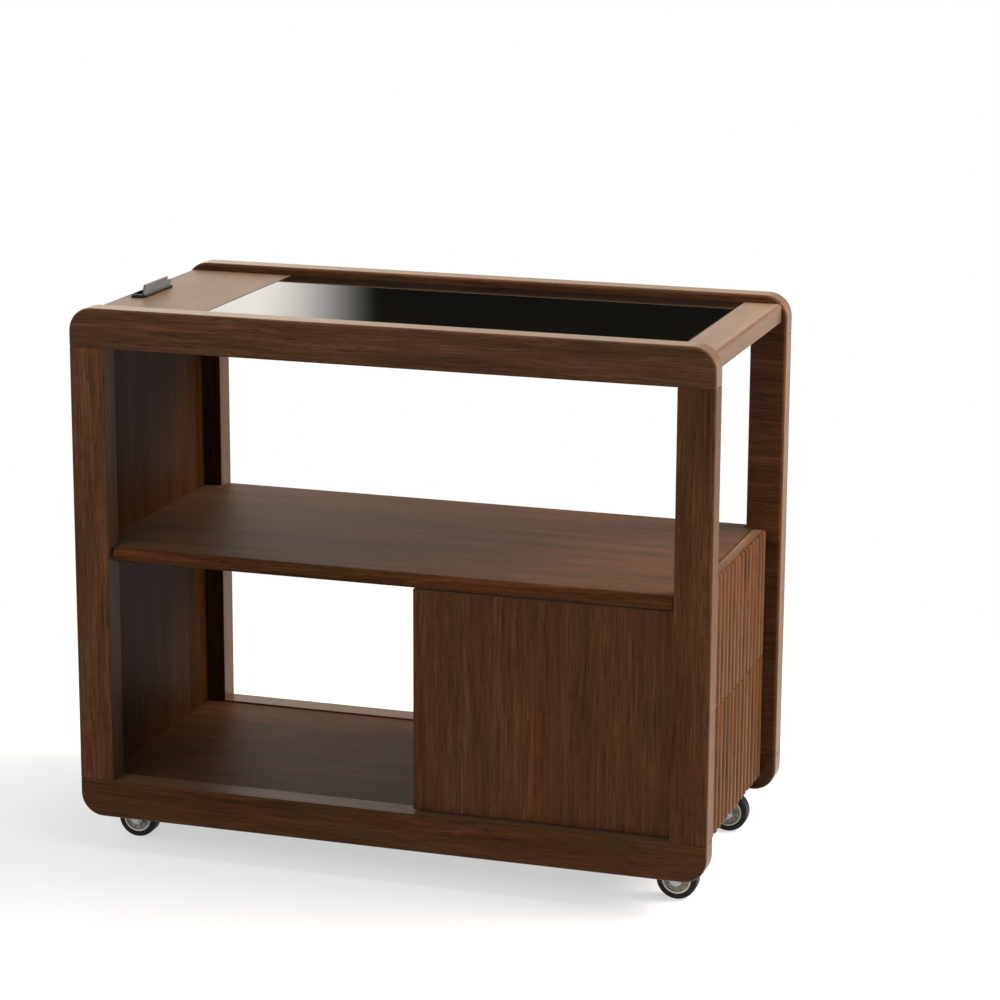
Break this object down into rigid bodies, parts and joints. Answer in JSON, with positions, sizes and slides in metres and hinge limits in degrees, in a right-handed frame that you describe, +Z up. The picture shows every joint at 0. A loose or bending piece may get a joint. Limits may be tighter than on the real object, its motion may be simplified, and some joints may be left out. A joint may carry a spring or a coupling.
{
  "type": "rolling side table cart",
  "caption": "Wheeled walnut side table with a glass and wood top, a cable port with a flip lid, an open shelf, an open compartment and reeded push-open drawers on telescopic slides.",
  "frame": {"origin": "centre of the table on the floor, under the wheels", "axes": "+X along the table towards the drawers' opening side, +Y from the front frame to the back frame, +Z up"},
  "size_m": [0.8, 0.39, 0.6893],
  "materials": {
    "walnut": "satin",
    "drawer_board": "satin",
    "black_glass": "gloss",
    "zinc_steel": "satin",
    "grey_plastic": "satin",
    "black_gloss_plastic": "gloss",
    "light_grey_plastic": "satin",
    "tyre_rubber": "matte"
  },
  "bodies": {
    "carcass": {"front_top_rail": "walnut", "front_bottom_rail": "walnut", "back_top_rail": "walnut", "back_bottom_rail": "walnut", "front_left_stile": "walnut", "front_right_stile": "walnut", "back_left_stile": "walnut", "back_right_stile": "walnut", "left_top_board": "walnut", "right_top_rail": "walnut", "glass_bed": "walnut", "left_side_panel": "walnut", "shelf": "walnut", "bottom_panel": "walnut", "cabinet_divider": "walnut", "cabinet_front_panel": "walnut", "cabinet_back_panel": "walnut", "upper_slide_cabinet_rails": "zinc_steel", "lower_slide_cabinet_rails": "zinc_steel", "glass_top": "black_glass", "slide_catches": "grey_plastic", "cable_port_ring": "black_gloss_plastic", "cable_port_pin": "zinc_steel", "front_left_caster_plate": "zinc_steel", "front_right_caster_plate": "zinc_steel", "back_left_caster_plate": "zinc_steel", "back_right_caster_plate": "zinc_steel"},
    "upper_drawer": {"upper_drawer_front": "walnut", "upper_drawer_left_side": "drawer_board", "upper_drawer_right_side": "drawer_board", "upper_drawer_back": "drawer_board", "upper_drawer_bottom": "drawer_board", "upper_slide_drawer_rails": "zinc_steel"},
    "upper_slide_middle": {"upper_slide_middle_rails": "zinc_steel"},
    "lower_drawer": {"lower_drawer_front": "walnut", "lower_drawer_left_side": "drawer_board", "lower_drawer_right_side": "drawer_board", "lower_drawer_back": "drawer_board", "lower_drawer_bottom": "drawer_board", "lower_slide_drawer_rails": "zinc_steel"},
    "lower_slide_middle": {"lower_slide_middle_rails": "zinc_steel"},
    "front_left_caster": {"front_left_caster_fork": "zinc_steel", "front_left_caster_axle": "zinc_steel"},
    "front_left_wheel": {"front_left_caster_hub": "light_grey_plastic", "front_left_caster_tyre": "tyre_rubber"},
    "front_right_caster": {"front_right_caster_fork": "zinc_steel", "front_right_caster_axle": "zinc_steel"},
    "front_right_wheel": {"front_right_caster_hub": "light_grey_plastic", "front_right_caster_tyre": "tyre_rubber"},
    "back_left_caster": {"back_left_caster_fork": "zinc_steel", "back_left_caster_axle": "zinc_steel"},
    "back_left_wheel": {"back_left_caster_hub": "light_grey_plastic", "back_left_caster_tyre": "tyre_rubber"},
    "back_right_caster": {"back_right_caster_fork": "zinc_steel", "back_right_caster_axle": "zinc_steel"},
    "back_right_wheel": {"back_right_caster_hub": "light_grey_plastic", "back_right_caster_tyre": "tyre_rubber"},
    "cable_port_lid": {"cable_port_lid": "grey_plastic"}
  },
  "joints": [
    {"name": "upper_drawer_slide", "type": "slide", "parent": "carcass", "child": "upper_drawer", "axis": [1, 0, 0], "range_m": [-0.0015, 0.28]},
    {"name": "upper_middle_slide", "type": "slide", "parent": "carcass", "child": "upper_slide_middle", "axis": [1, 0, 0], "range_m": [-0.00075, 0.14]},
    {"name": "lower_drawer_slide", "type": "slide", "parent": "carcass", "child": "lower_drawer", "axis": [1, 0, 0], "range_m": [-0.0015, 0.28]},
    {"name": "lower_middle_slide", "type": "slide", "parent": "carcass", "child": "lower_slide_middle", "axis": [1, 0, 0], "range_m": [-0.00075, 0.14]},
    {"name": "front_left_swivel", "type": "hinge", "parent": "carcass", "child": "front_left_caster", "pos_m": [-0.333, -0.128, 0.063], "axis": [0, 0, 1], "continuous": true},
    {"name": "front_left_roll", "type": "hinge", "parent": "front_left_caster", "child": "front_left_wheel", "pos_m": [-0.35, -0.128, 0.025], "axis": [0, 1, 0], "continuous": true},
    {"name": "front_right_swivel", "type": "hinge", "parent": "carcass", "child": "front_right_caster", "pos_m": [0.333, -0.128, 0.063], "axis": [0, 0, 1], "continuous": true},
    {"name": "front_right_roll", "type": "hinge", "parent": "front_right_caster", "child": "front_right_wheel", "pos_m": [0.35, -0.128, 0.025], "axis": [0, 1, 0], "continuous": true},
    {"name": "back_left_swivel", "type": "hinge", "parent": "carcass", "child": "back_left_caster", "pos_m": [-0.333, 0.128, 0.063], "axis": [0, 0, 1], "continuous": true},
    {"name": "back_left_roll", "type": "hinge", "parent": "back_left_caster", "child": "back_left_wheel", "pos_m": [-0.35, 0.128, 0.025], "axis": [0, 1, 0], "continuous": true},
    {"name": "back_right_swivel", "type": "hinge", "parent": "carcass", "child": "back_right_caster", "pos_m": [0.333, 0.128, 0.063], "axis": [0, 0, 1], "continuous": true},
    {"name": "back_right_roll", "type": "hinge", "parent": "back_right_caster", "child": "back_right_wheel", "pos_m": [0.35, 0.128, 0.025], "axis": [0, 1, 0], "continuous": true},
    {"name": "cable_port_lid_hinge", "type": "hinge", "parent": "carcass", "child": "cable_port_lid", "pos_m": [-0.3646, -0.013, 0.6759], "axis": [0, -1, 0], "range_deg": [0, 100]}
  ],
  "couplings": [
    {"joint": "upper_middle_slide", "follows": "upper_drawer_slide", "ratio": 0.5},
    {"joint": "lower_middle_slide", "follows": "lower_drawer_slide", "ratio": 0.5}
  ]
}
